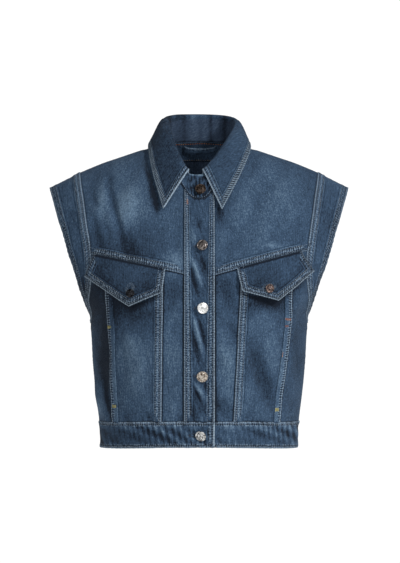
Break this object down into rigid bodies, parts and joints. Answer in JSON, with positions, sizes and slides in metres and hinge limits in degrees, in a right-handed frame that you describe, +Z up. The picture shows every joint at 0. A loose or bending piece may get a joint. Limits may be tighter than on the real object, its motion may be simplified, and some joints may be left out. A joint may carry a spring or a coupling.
{
  "type": "cropped sleeveless denim jacket vest",
  "caption": "Cropped denim vest with pointed collar, cap shoulders, flapped chest pockets, welt side pockets and a buttoned placket, filled out hollow.",
  "frame": {"origin": "midway between the two high shoulder points, on the shoulder line where the garment rests on its wearer", "axes": "+Z up, -Y towards the front opening, +X towards the wearer's left"},
  "size_m": [0.477, 0.2438, 0.5353],
  "materials": {
    "denim": "stonewashed mid-blue denim",
    "front_button": "worn nickel over copper",
    "flap_button": "dark aged copper"
  },
  "bodies": {
    "root": {"back_panel": "denim", "back_yoke": "denim", "front_yoke_right": "denim", "front_yoke_left": "denim", "front_centre_right": "denim", "front_centre_left": "denim", "front_side_right": "denim", "front_side_left": "denim", "side_panel_right": "denim", "side_panel_left": "denim", "cap_front_right": "denim", "cap_front_left": "denim", "cap_back_right": "denim", "cap_back_left": "denim", "pocket_welt_right": "denim", "pocket_welt_left": "denim", "flap_right": "denim", "flap_left": "denim", "waistband_front_right": "denim", "waistband_front_left": "denim", "waistband_back": "denim", "placket": "denim", "placket_under": "denim", "collar_stand": "denim", "collar_leaf": "denim", "neck_facing": "denim", "hanging_loop": "denim", "button_1": "front_button", "button_2": "front_button", "button_3": "front_button", "button_4": "front_button", "button_5": "front_button", "flap_button_right": "flap_button", "flap_button_left": "flap_button"}
  },
  "joints": []
}
